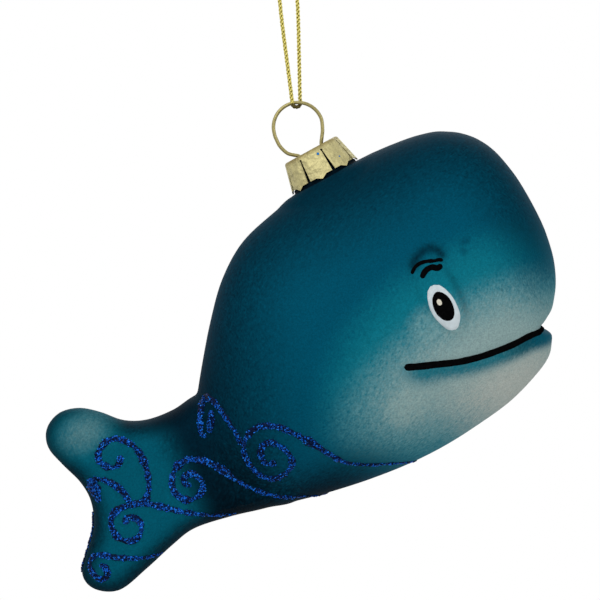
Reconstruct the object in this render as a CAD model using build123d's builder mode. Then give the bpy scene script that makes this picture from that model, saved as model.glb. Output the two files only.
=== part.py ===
from build123d import *
import math
import os

# A hanging glass whale: a blown and lacquered shell, a stamped crown cap with its wire bail,
# and the braided cord it hangs by. Lengths in mm, +Z up, +X towards the nose, -Y to the viewer.
# The origin is the point inside the top of the cord loop where a hook bears.

# The whale, along its own axes: length to the nose, height along the neck, width across.
whale_length = 143.0
whale_height = 73.0
whale_width = 58.0
body_wall = 1.1
tail_wall = 2.54
hang_pitch = 24.4

# The fluke and tail stem: thickness at the tips and at the root, and how round the edge is.
tail_tip_thickness = 10.5
tail_root_thickness = 23.0
tail_edge_round = 4.5

# The wire bail: a round loop, a straight run to the cap on the nose side, a fuller shoulder on the
# tail side, and two splayed spring legs.
wire_diameter = 0.92
bail_loop_radius = 6.14
bail_hole_offset = 3.0
bail_rise = 6.45
bail_lean = 10.0
bail_shoulder_radius = 13.0
bail_shoulder_turn = 18.0
bail_heel_run = 1.35
bail_heel_radius = 2.6
bail_bend_drop = 0.6
bail_bend_radius = 1.0
bail_leg_drop = 16.0

# The stamped crown cap, its slots for the bail and its eight fingers.
cap_top_radius = 7.4
cap_skirt_radius = 9.3
cap_height = 7.8
cap_sheet = 0.35
cap_shoulder = 0.6
cap_slot_length = 2.7
cap_slot_offset = 2.85
cap_fingers = 8
finger_turn = -5.0
slit_hole_radius = 0.3
slit_start = 1.3
slit_top_width = 0.3
slit_foot_width = 0.9
finger_shoulder_drop = 6.95
finger_tip_width = 3.0

# The neck of the glass, its place above the back and the low shoulder round its foot.
neck_wall = 1.05
back_drop = 14.3
neck_root = 4.0
shoulder_drop = 14.45
shoulder_radius = 10.2
shoulder_foot_drop = 21.0
shoulder_foot_radius = 16.2

# The cord: a loop under the ring, up round the hook, and an overhand knot with two tails.
cord_diameter = 1.0
cord_turn_radius = 1.0
cord_turn_width = 2.0
cord_turn_depth = 2.2
cord_turn_rise = 1.1
cord_turn_drop = 1.1
loop_height = 46.0
loop_width = 5.3
loop_depth = 0.9
loop_wide_drop = 3.0
cord_run_radius = 6.0
cord_shoulder_radius = 5.0
cord_neck_radius = 4.0
cord_pair_gap = 0.1
knot_width = 3.2
knot_height = 4.2
knot_round = 0.5
loop_close_rise = 3.0
pair_run = 1.6
tail_end_height = 7.0
tail_end_spread = 2.4

# Raised paint and glitter: how far each stands off the glass, and how wide each line is.
paint_relief = 0.3
enamel_relief = 0.4
glitter_relief = 0.5
mouth_line_width = 1.6
upper_brow_width = 0.8
lower_brow_width = 1.3
glitter_width = 1.6
glitter_fill_width = 3.2
leaf_fill_width = 2.1
edge_line_width = 1.3
edge_line_reach = 1.6
eye_width = 6.4
eye_height = 12.3
pupil_width = 4.6
pupil_height = 7.8
glint_width = 1.2
glint_height = 1.6

# Clearances, and how far a cutter runs past what it cuts.
bail_clearance = 0.25
neck_clearance = 0.25
neck_top_gap = 0.3
leg_gap = 0.3
overrun = 2.0

# Shares along the whale's length and up its height, read from the side view.
neck_share = 0.7066
waist_share = 0.47
roundness_share = 0.57
tail_end_share = (0.278, 0.327)
nose_share = (1.0, 0.587)
tail_root_share = 0.365

# Each station of the body: place along the length, back, belly and half width.
body_shares = (
    (0.290, 0.426, 0.238, 0.200),
    (0.309, 0.508, 0.176, 0.345),
    (0.334, 0.573, 0.135, 0.466),
    (0.365, 0.652, 0.094, 0.586),
    (0.409, 0.755, 0.068, 0.724),
    (0.461, 0.861, 0.044, 0.845),
    (0.522, 0.939, 0.022, 0.938),
    (0.592, 0.977, 0.005, 0.986),
    (0.662, 0.997, 0.000, 1.000),
    (0.732, 1.000, 0.009, 1.000),
    (0.802, 0.996, 0.026, 0.979),
    (0.863, 0.982, 0.063, 0.938),
    (0.898, 0.967, 0.098, 0.890),
    (0.915, 0.955, 0.140, 0.848),
    (0.929, 0.939, 0.205, 0.800),
    (0.949, 0.914, 0.248, 0.731),
    (0.969, 0.869, 0.305, 0.607),
    (0.986, 0.806, 0.378, 0.441),
    (0.996, 0.724, 0.460, 0.262),
    (0.999, 0.662, 0.522, 0.124),
)

# The outline of the stem and fluke, from inside the body round the two lobes and back.
tail_outline_shares = (
    (0.409, 0.508), (0.334, 0.558), (0.278, 0.553), (0.229, 0.566), (0.192, 0.604),
    (0.164, 0.666), (0.134, 0.714), (0.100, 0.731), (0.068, 0.703), (0.055, 0.645),
    (0.063, 0.570), (0.075, 0.488), (0.075, 0.412), (0.058, 0.332), (0.022, 0.258),
    (0.000, 0.204), (0.007, 0.142), (0.045, 0.099), (0.104, 0.120), (0.164, 0.149),
    (0.211, 0.163), (0.278, 0.139), (0.339, 0.106), (0.400, 0.084), (0.444, 0.207),
    (0.435, 0.378),
)

# The pillow of the fluke is lofted through these turns of its rounded edge, in degrees.
edge_turns = (-86, -70, -50, -27, 0, 27, 50, 70, 86)

# The face: the mouth line, the two brow strokes and the centres of the eye's layers.
mouth_shares = (
    (0.667, 0.324), (0.689, 0.304), (0.713, 0.284), (0.756, 0.250), (0.798, 0.227),
    (0.850, 0.212), (0.884, 0.210), (0.906, 0.211), (0.931, 0.206),
)
upper_brow_shares = ((0.754, 0.585), (0.769, 0.602), (0.786, 0.599), (0.799, 0.585), (0.812, 0.574))
lower_brow_shares = ((0.765, 0.557), (0.779, 0.572), (0.791, 0.572), (0.798, 0.561), (0.807, 0.562))
eye_share = (0.7739, 0.4377)
pupil_share = (0.7742, 0.4420)
glint_share = (0.7725, 0.4599)

# The glitter scrolls, each drawn from one end to the other.
fluke_curl_shares = (
    (0.165, 0.329), (0.180, 0.367), (0.191, 0.425), (0.193, 0.500), (0.176, 0.557),
    (0.155, 0.572), (0.132, 0.552), (0.126, 0.518), (0.137, 0.487), (0.153, 0.484),
    (0.164, 0.506),
)
notch_curl_shares = ((0.137, 0.344), (0.136, 0.391), (0.127, 0.436), (0.111, 0.470), (0.095, 0.478))
notch_fill_shares = ((0.097, 0.482), (0.092, 0.444), (0.090, 0.410))
tail_line_shares = (
    (0.112, 0.295), (0.122, 0.309), (0.134, 0.294), (0.137, 0.265), (0.126, 0.238),
    (0.108, 0.232), (0.092, 0.258), (0.088, 0.300), (0.096, 0.334), (0.112, 0.350),
    (0.133, 0.344), (0.157, 0.329), (0.180, 0.292), (0.204, 0.250), (0.231, 0.209),
    (0.255, 0.179),
)
lobe_curl_shares = (
    (0.038, 0.213), (0.045, 0.196), (0.042, 0.170), (0.030, 0.165), (0.022, 0.187),
    (0.021, 0.221), (0.031, 0.245), (0.048, 0.241), (0.071, 0.207), (0.090, 0.184),
    (0.113, 0.161), (0.142, 0.144),
)
stem_curl_shares = (
    (0.445, 0.039), (0.416, 0.076), (0.382, 0.114), (0.351, 0.166), (0.324, 0.233),
    (0.305, 0.309), (0.285, 0.358), (0.261, 0.387), (0.237, 0.379), (0.220, 0.348),
    (0.215, 0.307), (0.225, 0.271), (0.242, 0.260), (0.260, 0.272), (0.266, 0.304),
    (0.259, 0.336), (0.246, 0.343), (0.239, 0.322), (0.246, 0.302),
)
body_curl_shares = (
    (0.608, 0.002), (0.571, 0.043), (0.529, 0.088), (0.499, 0.135), (0.480, 0.197),
    (0.465, 0.251), (0.446, 0.308), (0.427, 0.352), (0.400, 0.377), (0.373, 0.364),
    (0.357, 0.325), (0.354, 0.275), (0.362, 0.226), (0.377, 0.195), (0.399, 0.192),
    (0.419, 0.209), (0.424, 0.246), (0.416, 0.287), (0.403, 0.314), (0.387, 0.308),
    (0.378, 0.277), (0.385, 0.247), (0.397, 0.244),
)
leaf_drop_shares = (
    (0.359, 0.344), (0.360, 0.389), (0.357, 0.455), (0.352, 0.514), (0.341, 0.542),
    (0.330, 0.529), (0.316, 0.490), (0.306, 0.447), (0.310, 0.427),
)
leaf_fill_shares = ((0.320, 0.437), (0.331, 0.462), (0.340, 0.491))
edge_line_shares = (
    (0.072, 0.378), (0.058, 0.332), (0.040, 0.294), (0.022, 0.258), (0.009, 0.233),
    (0.002, 0.214),
)

# The whale's own axes: u to the nose, v across and w up the neck, from the ring's centre.
hook_to_ring = loop_height - bail_loop_radius
pitch = math.radians(hang_pitch)
hang = Plane(
    origin=(0, 0, -hook_to_ring),
    x_dir=(math.cos(pitch), 0, math.sin(pitch)),
    z_dir=(-math.sin(pitch), 0, math.cos(pitch)),
)
belly_w = -back_drop - whale_height


def cross_plane(u):
    """The plane across the whale at u; its axes are v and w."""
    return Plane(origin=hang.from_local_coords((u, 0, 0)), x_dir=(0, 1, 0), z_dir=hang.x_dir)


def deck_plane(w):
    """The plane square to the neck at height w; its axes are u and v."""
    return Plane(origin=hang.from_local_coords((0, 0, w)), x_dir=hang.x_dir, z_dir=hang.z_dir)


# The whale's middle plane; its axes are u and w, and its normal points to the viewer.
middle_plane = Plane(origin=hang.origin, x_dir=hang.x_dir, z_dir=(0, -1, 0))


def spot(share):
    """A place on the middle plane from its shares of the whale's length and height."""
    return (whale_length * (share[0] - neck_share), belly_w + whale_height * share[1])


def body_form(grow):
    """The egg of the body, every surface moved out by grow."""
    first = spot(tail_end_share)
    last = spot(nose_share)
    middle = (first[0] + last[0]) / 2
    stretch = 1 + 2 * grow / (last[0] - first[0])
    sections = []
    for along, back, belly, wide in body_shares:
        u, top = spot((along, back))
        top += grow
        foot = spot((along, belly))[1] - grow
        side = whale_width / 2 * wide + grow
        waist = foot + waist_share * (top - foot)
        high = waist + roundness_share * (top - waist)
        low = waist - roundness_share * (waist - foot)
        pull = roundness_share * side
        with BuildSketch(cross_plane(middle + stretch * (u - middle))) as section:
            with BuildLine():
                Bezier((side, waist), (side, high), (pull, top), (0, top))
                Bezier((0, top), (-pull, top), (-side, high), (-side, waist))
                Bezier((-side, waist), (-side, low), (-pull, foot), (0, foot))
                Bezier((0, foot), (pull, foot), (side, low), (side, waist))
            make_face()
        sections.append(section.sketch)
    rear = hang.from_local_coords((first[0] - grow, 0, first[1]))
    front = hang.from_local_coords((last[0] + grow, 0, last[1]))
    with BuildPart() as form:
        loft([Vertex(rear), *sections, Vertex(front)])
    return form.part


def tail_form(grow):
    """The stem and fluke: a pillow that thickens to the root, moved out by grow."""
    outline = [spot(share) for share in tail_outline_shares]
    tip_u = min(point[0] for point in outline)
    root_u = spot((tail_root_share, 0))[0]
    tip_half = tail_tip_thickness / 2 + grow
    root_half = tail_root_thickness / 2 + grow
    slope = (root_half - tip_half) / (root_u - tip_u)
    pivot_u = tip_u - tip_half / slope
    pivot = hang.from_local_coords((pivot_u, 0, 0))
    sections = []
    for turn in edge_turns:
        inset = (tail_edge_round + grow) * (1 - math.cos(math.radians(turn))) - grow
        lean = math.atan(slope) * math.sin(math.radians(turn))
        points = []
        for index, point in enumerate(outline):
            before = outline[index - 1]
            after = outline[(index + 1) % len(outline)]
            run = math.dist(before, after)
            inward = ((before[1] - after[1]) / run, (after[0] - before[0]) / run)
            points.append((point[0] + inset * inward[0] - pivot_u, point[1] + inset * inward[1]))
        along = hang.x_dir * math.cos(lean) - Vector(0, 1, 0) * math.sin(lean)
        with BuildSketch(Plane(origin=pivot, x_dir=along, z_dir=along.cross(hang.z_dir))) as section:
            with BuildLine():
                Spline(*points, periodic=True)
            make_face()
        sections.append(section.sketch)
    with BuildPart() as form:
        loft(sections)
    return form.part


def whale_form(grow):
    """The whole outside of the glass, without the neck, moved out by grow."""
    with BuildPart() as form:
        add(body_form(grow))
        add(tail_form(grow))
    return form.part


def finish(block, node):
    """Names the piece and writes it out."""
    block.part.label = node
    export_step(block.part, "parts/" + node + ".step")


os.makedirs("parts", exist_ok=True)
glass_out = whale_form(0)
paint_out = whale_form(paint_relief)
pupil_out = whale_form(2 * paint_relief)
glint_out = whale_form(3 * paint_relief)
enamel_out = whale_form(enamel_relief)
glitter_out = whale_form(glitter_relief)

# The blown glass shell: hollow, thicker in the tail, with an open neck under the cap.
neck_radius = cap_top_radius - cap_sheet - neck_clearance
neck_bore = neck_radius - neck_wall
neck_top = -bail_rise - cap_sheet - neck_top_gap
with BuildPart() as glass_shell:
    add(glass_out)
    with BuildSketch(deck_plane(neck_top)):
        Circle(neck_radius)
    extrude(amount=-(back_drop + neck_root + neck_top))
    with BuildSketch(middle_plane):
        with BuildLine():
            Polyline(
                (0, -shoulder_drop),
                (shoulder_radius, -shoulder_drop),
                (shoulder_foot_radius, -shoulder_foot_drop),
                (0, -shoulder_foot_drop),
                close=True,
            )
        make_face()
    revolve(axis=Axis(hang.origin, hang.z_dir))
    add(body_form(-body_wall), mode=Mode.SUBTRACT)
    add(tail_form(-tail_wall), mode=Mode.SUBTRACT)
    with BuildSketch(deck_plane(neck_top + overrun)):
        Circle(neck_bore)
    extrude(amount=-(back_drop + neck_root + neck_top + 2 * overrun), mode=Mode.SUBTRACT)
finish(glass_shell, "glass_shell")

# The stamped crown cap: a flat top with a rounded shoulder and a flared skirt cut into fingers.
finger_pitch = 2 * math.pi * cap_skirt_radius / cap_fingers
cap_top = deck_plane(-bail_rise)
skirt_plane = Plane(origin=cap_top.origin, x_dir=hang.x_dir, z_dir=(0, -1, 0))
slot_width = wire_diameter + 2 * bail_clearance
with BuildPart() as cap:
    with BuildSketch(skirt_plane):
        with BuildLine():
            crown = FilletPolyline(
                (0, -cap_sheet / 2),
                (cap_top_radius - cap_sheet / 2, -cap_sheet / 2),
                (cap_skirt_radius - cap_sheet / 2, -cap_height),
                radius=cap_shoulder,
            )
            offset(crown, amount=cap_sheet / 2, side=Side.BOTH)
        make_face()
    revolve(axis=Axis(cap_top.origin, hang.z_dir))
    for slot in (-cap_slot_offset, cap_slot_offset):
        with BuildSketch(cap_top):
            with Locations((slot, 0)):
                SlotOverall(cap_slot_length, slot_width)
        extrude(amount=-overrun, both=True, mode=Mode.SUBTRACT)
    for finger in range(cap_fingers):
        bearing = math.radians(finger_turn) + 2 * math.pi * (finger + 1 / 2) / cap_fingers
        across = hang.x_dir * math.cos(bearing) + Vector(0, 1, 0) * math.sin(bearing)
        with BuildSketch(Plane(origin=cap_top.origin, x_dir=hang.z_dir.cross(across), z_dir=across)):
            with Locations((0, -slit_start)):
                Circle(slit_hole_radius)
            with BuildLine():
                Polyline(
                    (slit_top_width / 2, -slit_start),
                    (slit_foot_width / 2, -finger_shoulder_drop),
                    (finger_pitch / 2 - finger_tip_width / 2, -finger_shoulder_drop),
                    (finger_pitch / 2, -cap_height),
                    (finger_pitch / 2, -cap_height - overrun),
                    (-finger_pitch / 2, -cap_height - overrun),
                    (-finger_pitch / 2, -cap_height),
                    (finger_tip_width / 2 - finger_pitch / 2, -finger_shoulder_drop),
                    (-slit_foot_width / 2, -finger_shoulder_drop),
                    (-slit_top_width / 2, -slit_start),
                    close=True,
                )
            make_face()
        extrude(amount=cap_skirt_radius + overrun, mode=Mode.SUBTRACT)
finish(cap, "cap")

# The wire bail: the loop, its way down through the cap's slots, and legs that spring in the neck.
hole_reach = math.hypot(bail_hole_offset, bail_rise)
touch_angle = math.acos(bail_loop_radius / hole_reach) - math.atan2(bail_rise, bail_hole_offset)
touch = (bail_loop_radius * math.cos(touch_angle), bail_loop_radius * math.sin(touch_angle))
bend = (
    bail_hole_offset + bail_bend_drop * math.sin(touch_angle),
    -bail_rise - bail_bend_drop * math.cos(touch_angle),
)
leg_tip = (neck_bore - leg_gap - wire_diameter / 2, -bail_leg_drop)
with BuildPart() as bail:
    with BuildLine(middle_plane) as wire:
        FilletPolyline(touch, bend, leg_tip, radius=bail_bend_radius)
        loop = CenterArc(
            (0, 0), bail_loop_radius, math.degrees(touch_angle), 180 - bail_lean - math.degrees(touch_angle)
        )
        shoulder = JernArc(loop @ 1, loop % 1, bail_shoulder_radius, bail_shoulder_turn)
        FilletPolyline(
            shoulder @ 1,
            shoulder @ 1 + (shoulder % 1) * bail_heel_run,
            (-bend[0], bend[1]),
            (-leg_tip[0], leg_tip[1]),
            radius=(bail_heel_radius, bail_bend_radius),
        )
    with BuildSketch(Plane(origin=wire.line @ 0, z_dir=wire.line % 0)):
        Circle(wire_diameter / 2)
    sweep()
finish(bail, "bail")

# The cord loop: a turn under the ring's wire, two taut runs and the pair under the knot.
turn_z = bail_loop_radius - hook_to_ring
pair_half = (cord_diameter + cord_pair_gap) / 2
pair_top = loop_close_rise + pair_run
right_run = [
    (pair_half, 0, pair_top),
    (pair_half, 0, loop_close_rise),
    (loop_width / 2, loop_depth / 2, -loop_wide_drop),
    (cord_turn_width / 2, cord_turn_depth / 2, turn_z + cord_turn_rise),
    (cord_turn_width / 2, cord_turn_depth / 2, turn_z - cord_turn_drop),
]
left_run = [(-x, -y, z) for x, y, z in reversed(right_run)]
run_bends = [cord_neck_radius, cord_shoulder_radius, cord_run_radius, cord_turn_radius]
with BuildPart() as cord_loop:
    with BuildLine() as route:
        FilletPolyline(*right_run, *left_run, radius=run_bends + run_bends[::-1])
    with BuildSketch(Plane(origin=route.line @ 0, z_dir=route.line % 0)):
        Circle(cord_diameter / 2)
    sweep()
finish(cord_loop, "cord_loop")
cord_section = math.pi * cord_diameter**2 / 4
cord_length = sum(edge.length for edge in route.edges())
print("cord length", cord_length, "volume share", cord_loop.part.volume / cord_section / cord_length)
print("cord bend radii", cord_turn_radius, cord_shoulder_radius, cord_neck_radius)

# The overhand knot over the loop, with the two cut ends of the cord.
knot_rise = pair_top + knot_height / 2
with BuildPart() as cord_knot:
    with BuildSketch(Plane.XY.offset(pair_top)):
        Circle(knot_width / 2)
    extrude(amount=knot_height)
    fillet(cord_knot.edges().filter_by(GeomType.CIRCLE), knot_round)
    for side in (-1, 1):
        knot_middle = Vector(side * pair_half, 0, knot_rise)
        tail_top = Vector(side * tail_end_spread, 0, knot_rise + tail_end_height)
        with BuildSketch(Plane(origin=knot_middle, z_dir=tail_top - knot_middle)):
            Circle(cord_diameter / 2)
        extrude(amount=tail_end_height)
finish(cord_knot, "cord_knot")

# The mouth line runs along both cheeks and meets round the front of the jaw.
with BuildPart() as mouth_line:
    with BuildSketch(middle_plane):
        with BuildLine():
            stroke = Spline(*[spot(share) for share in mouth_shares])
        trace(stroke, line_width=mouth_line_width)
    extrude(amount=whale_width, both=True)
    add(enamel_out, mode=Mode.INTERSECT)
    add(glass_out, mode=Mode.SUBTRACT)
finish(mouth_line, "mouth_line")


def raised_pair(node, outline, over, under):
    """A raised layer on the right side and its twin on the left, from its outline."""
    with BuildPart() as right:
        extrude(outline, amount=whale_width)
        add(over, mode=Mode.INTERSECT)
        add(under, mode=Mode.SUBTRACT)
    finish(right, node + "_right")
    with BuildPart() as left:
        mirror(right.part, about=Plane.XZ)
    finish(left, node + "_left")


def oval(share, width, height):
    """An upright oval on the middle plane."""
    with BuildSketch(middle_plane) as shape:
        with Locations(spot(share)):
            Ellipse(width / 2, height / 2)
    return shape.sketch


def line_of(shares, width, beside=()):
    """A drawn line of one width on the middle plane, cut back where it meets the lines beside it."""
    with BuildSketch(middle_plane) as shape:
        with BuildLine():
            stroke = Spline(*[spot(share) for share in shares])
        trace(stroke, line_width=width)
        for other in beside:
            add(middle_plane.to_local_coords(other), mode=Mode.SUBTRACT)
    return shape.sketch


# The eyes, each a white oval, a black pupil on it and a catch light on that, and the brows.
raised_pair("eye_white", oval(eye_share, eye_width, eye_height), paint_out, glass_out)
raised_pair("pupil", oval(pupil_share, pupil_width, pupil_height), pupil_out, paint_out)
raised_pair("catch_light", oval(glint_share, glint_width, glint_height), glint_out, pupil_out)
raised_pair("upper_brow", line_of(upper_brow_shares, upper_brow_width), paint_out, glass_out)
raised_pair("lower_brow", line_of(lower_brow_shares, lower_brow_width), paint_out, glass_out)

# The glitter scrolls of the tail and flank, the same on both sides.
tail_line = line_of(tail_line_shares, glitter_width)
notch_fill = line_of(notch_fill_shares, glitter_fill_width)
lobe_curl = line_of(lobe_curl_shares, glitter_width)
body_curl = line_of(body_curl_shares, glitter_width)
leaf_drop = line_of(leaf_drop_shares, glitter_width, [body_curl])
scrolls = (
    ("tail_line", tail_line),
    ("fluke_curl", line_of(fluke_curl_shares, glitter_width, [tail_line])),
    ("notch_fill", notch_fill),
    ("notch_curl", line_of(notch_curl_shares, glitter_width, [tail_line, notch_fill])),
    ("lobe_curl", lobe_curl),
    ("stem_curl", line_of(stem_curl_shares, glitter_width)),
    ("body_curl", body_curl),
    ("leaf_drop", leaf_drop),
    ("leaf_fill", line_of(leaf_fill_shares, leaf_fill_width, [leaf_drop])),
)
for node, outline in scrolls:
    raised_pair(node, outline, glitter_out, glass_out)

# The glitter that runs round the trailing edge of the fluke, from the notch to the lower tip.
with BuildPart() as edge_line:
    edge_band = line_of(edge_line_shares, edge_line_width, [lobe_curl, notch_fill])
    extrude(edge_band, amount=edge_line_reach, both=True)
    add(glitter_out, mode=Mode.INTERSECT)
    add(glass_out, mode=Mode.SUBTRACT)
finish(edge_line, "edge_line")
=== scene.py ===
import math

import bpy
import numpy as np
from mathutils import Matrix, Vector
from mathutils.bvhtree import BVHTree


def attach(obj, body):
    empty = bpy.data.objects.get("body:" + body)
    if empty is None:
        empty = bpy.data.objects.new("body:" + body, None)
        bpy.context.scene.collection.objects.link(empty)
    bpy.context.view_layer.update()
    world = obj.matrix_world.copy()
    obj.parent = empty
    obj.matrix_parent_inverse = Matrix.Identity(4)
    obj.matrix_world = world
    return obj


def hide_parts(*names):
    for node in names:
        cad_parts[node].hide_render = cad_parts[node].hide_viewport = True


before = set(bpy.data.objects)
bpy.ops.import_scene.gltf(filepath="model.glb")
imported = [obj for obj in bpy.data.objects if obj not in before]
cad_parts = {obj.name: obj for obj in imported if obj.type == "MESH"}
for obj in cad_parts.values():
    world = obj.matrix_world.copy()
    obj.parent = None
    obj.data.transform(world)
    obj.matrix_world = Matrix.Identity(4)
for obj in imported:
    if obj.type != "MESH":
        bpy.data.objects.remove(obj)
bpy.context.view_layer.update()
scene = bpy.context.scene
scene.view_settings.view_transform = "Standard"

# The blown glass shell: an egg-shaped body, a blunt snout over a chin, and a puffy fluke, from a mould
# that leaves a raised oval round each eye and a groove for the mouth. It is worked in mm from the
# centre of the bail's ring, on the whale's own axes: u to the nose, v across and w up the neck.
side_origin = (395.5, 151)
side_scale = 0.25


def spot(points):
    """From places on the side view to u and w."""
    p = np.asarray(points, float)
    return np.column_stack(((p[:, 0] - side_origin[0]) * side_scale, (side_origin[1] - p[:, 1]) * side_scale))


def smooth_path(points, count, closed=False):
    """Even points along one smooth curve through the given ones."""
    p = np.asarray(points, float)
    p = np.vstack((p[-1:], p, p[:2])) if closed else np.vstack((2 * p[0] - p[1], p, 2 * p[-1] - p[-2]))
    t = np.linspace(0, 1, 24, endpoint=False)[:, None]
    fine = []
    for a, b, c, d in zip(p[:-3], p[1:-2], p[2:-1], p[3:]):
        fine.append(b + 0.5 * t * (c - a + t * (2 * a - 5 * b + 4 * c - d + t * (3 * b - a - 3 * c + d))))
    fine = np.vstack(fine + [p[-2:-1]])
    run = np.concatenate(([0], np.cumsum(np.linalg.norm(np.diff(fine, axis=0), axis=1))))
    even = np.linspace(0, run[-1], count, endpoint=not closed)
    return np.column_stack([np.interp(even, run, fine[:, k]) for k in range(fine.shape[1])])


body_stations = smooth_path(
    (
        (150, 405, 405, 0), (157, 376, 431, 5.8), (168, 352, 449, 10), (182, 333, 461, 13.5),
        (200, 310, 473, 17), (225, 280, 480.5, 21), (255, 249, 487.5, 24.5), (290, 226, 494, 27.2),
        (330, 215, 499, 28.6), (370, 209.2, 500.5, 29), (410, 208.3, 498, 29), (450, 209.5, 492.8, 28.4),
        (485, 213.5, 482, 27.2), (505, 218, 472, 25.8), (515, 221.5, 459.5, 24.6), (523, 226, 440.5, 23.2),
        (534, 233.5, 428, 21.2), (546, 246.5, 411.5, 17.6), (555.5, 265, 390, 12.8), (561, 289, 366, 7.6),
        (563, 307, 348, 3.6), (563.5, 329, 329, 0),
    ),
    170,
)
ring_count = 72
ring_power = 0.966
waist_share = 0.47
turns = np.linspace(0, 2 * math.pi, ring_count, endpoint=False)
shell_points = []
shell_faces = []
for px, back, belly, half in body_stations[1:-1]:
    (u, top), (_, foot) = spot(((px, back), (px, belly)))
    waist = foot + waist_share * (top - foot)
    rise = np.sign(np.sin(turns)) * np.abs(np.sin(turns)) ** ring_power
    side = half * np.sign(np.cos(turns)) * np.abs(np.cos(turns)) ** ring_power
    height = waist + np.where(rise > 0, rise * (top - waist), rise * (waist - foot))
    shell_points.extend(zip(np.full(ring_count, u), side, height))
ring_total = len(body_stations) - 2
for i in range(ring_total - 1):
    for j in range(ring_count):
        k = (j + 1) % ring_count
        a, b = i * ring_count, (i + 1) * ring_count
        shell_faces.append((a + j, b + j, b + k, a + k))
for end, first in ((body_stations[0], 0), (body_stations[-1], (ring_total - 1) * ring_count)):
    (u, w), = spot(((end[0], end[1]),))
    shell_points.append((u, 0, w))
    pole = len(shell_points) - 1
    for j in range(ring_count):
        loop = (pole, first + j, first + (j + 1) % ring_count)
        shell_faces.append(loop if first == 0 else loop[::-1])

tail_outline = spot(
    smooth_path(
        (
            (225, 352), (182, 337.5), (150, 339), (122, 335), (101, 324), (85, 306), (68, 292), (48, 287),
            (30, 295), (22.5, 312), (27, 334), (34, 358), (34, 380), (24, 403.5), (3.5, 425), (-9.5, 441),
            (-5, 459), (16.5, 471.5), (50.5, 465.5), (85, 457), (112, 453), (150, 460), (185, 469.5),
            (220, 476), (245, 440), (240, 390),
        ),
        260,
        closed=True,
    )
)
tail_edge = 4.5
tip_u, root_u = -101.1, -48.9
tip_half, root_half = 5.25, 11.5
before, after = np.roll(tail_outline, 1, axis=0), np.roll(tail_outline, -1, axis=0)
inward = np.column_stack((before[:, 1] - after[:, 1], after[:, 0] - before[:, 0]))
inward /= np.linalg.norm(inward, axis=1)[:, None]
tail_turns = np.radians(np.linspace(-88, 88, 23))
base = len(shell_points)
for turn in tail_turns:
    inset = tail_outline + inward * tail_edge * (1 - math.cos(turn))
    half = tip_half + (root_half - tip_half) * (inset[:, 0] - tip_u) / (root_u - tip_u)
    shell_points.extend(zip(inset[:, 0], half * math.sin(turn), inset[:, 1]))
loop_count = len(tail_outline)
for i in range(len(tail_turns) - 1):
    for j in range(loop_count):
        k = (j + 1) % loop_count
        a, b = base + i * loop_count, base + (i + 1) * loop_count
        shell_faces.append((a + j, a + k, b + k, b + j))
last = base + (len(tail_turns) - 1) * loop_count
shell_faces.append(tuple(range(base + loop_count - 1, base - 1, -1)))
shell_faces.append(tuple(range(last, last + loop_count)))

rough_mesh = bpy.data.meshes.new("shell_rough")
rough_mesh.from_pydata([tuple(p) for p in shell_points], [], shell_faces)
rough = bpy.data.objects.new("shell_rough", rough_mesh)
scene.collection.objects.link(rough)
remesh = rough.modifiers.new("one_skin", "REMESH")
remesh.mode = "VOXEL"
remesh.voxel_size = 0.5
soften = rough.modifiers.new("soften", "SMOOTH")
soften.factor = 0.5
soften.iterations = 8
shell_mesh = bpy.data.meshes.new_from_object(rough.evaluated_get(bpy.context.evaluated_depsgraph_get()))
bpy.data.objects.remove(rough)
bpy.data.meshes.remove(rough_mesh)
skin = np.empty(len(shell_mesh.vertices) * 3)
shell_mesh.vertices.foreach_get("co", skin)
skin = skin.reshape(-1, 3)
skin_normals = np.empty(len(shell_mesh.vertices) * 3)
shell_mesh.vertex_normals.foreach_get("vector", skin_normals)
skin_normals = skin_normals.reshape(-1, 3)

# The smoothing draws the skin in a little, and the fluke is puffed like a pillow.
smoothing_loss = 0.08
puff_edge, puff_rise = 6.5, 1.12


def distance_to(path, u, w):
    """How far each point of the side view is from a drawn path, in mm."""
    best = np.full(len(u), 1e9)
    for a, b in zip(path[:-1], path[1:]):
        d = b - a
        t = np.clip(((u - a[0]) * d[0] + (w - a[1]) * d[1]) / max(d @ d, 1e-12), 0, 1)
        best = np.minimum(best, np.hypot(u - a[0] - t * d[0], w - a[1] - t * d[1]))
    return best


def ease(value, low, high):
    """Rises smoothly from 0 at low to 1 at high."""
    t = np.clip((value - low) / (high - low), 0, 1)
    return t * t * (3 - 2 * t)


skin += skin_normals * smoothing_loss
tail_part = skin[:, 0] < root_u + 2
depth = distance_to(np.vstack((tail_outline, tail_outline[:1])), skin[tail_part, 0], skin[tail_part, 2])
puffed = np.sqrt(1 - (1 - np.clip(depth / puff_edge, 0.005, 1)) ** 2)
pillow = np.sqrt(1 - (1 - np.clip(depth / tail_edge, 0.007, 1)) ** 2)
share = ease(-skin[tail_part, 0], 50, 62)
skin[tail_part, 1] *= 1 + share * (puff_rise * puffed / pillow - 1)

seat_top, seat_inside, seat_outside = -14.45, 9.2, 15
from_neck = np.hypot(skin[:, 0], skin[:, 1])
seat = np.clip(seat_top - skin[:, 2], 0, None) * (1 - ease(from_neck, seat_inside, seat_outside))
seat *= skin[:, 2] > -20
skin[:, 2] += seat

quads = [tuple(f.vertices) for f in shell_mesh.polygons]
plain_tree = BVHTree.FromPolygons([Vector(p) for p in skin], quads)

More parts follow.
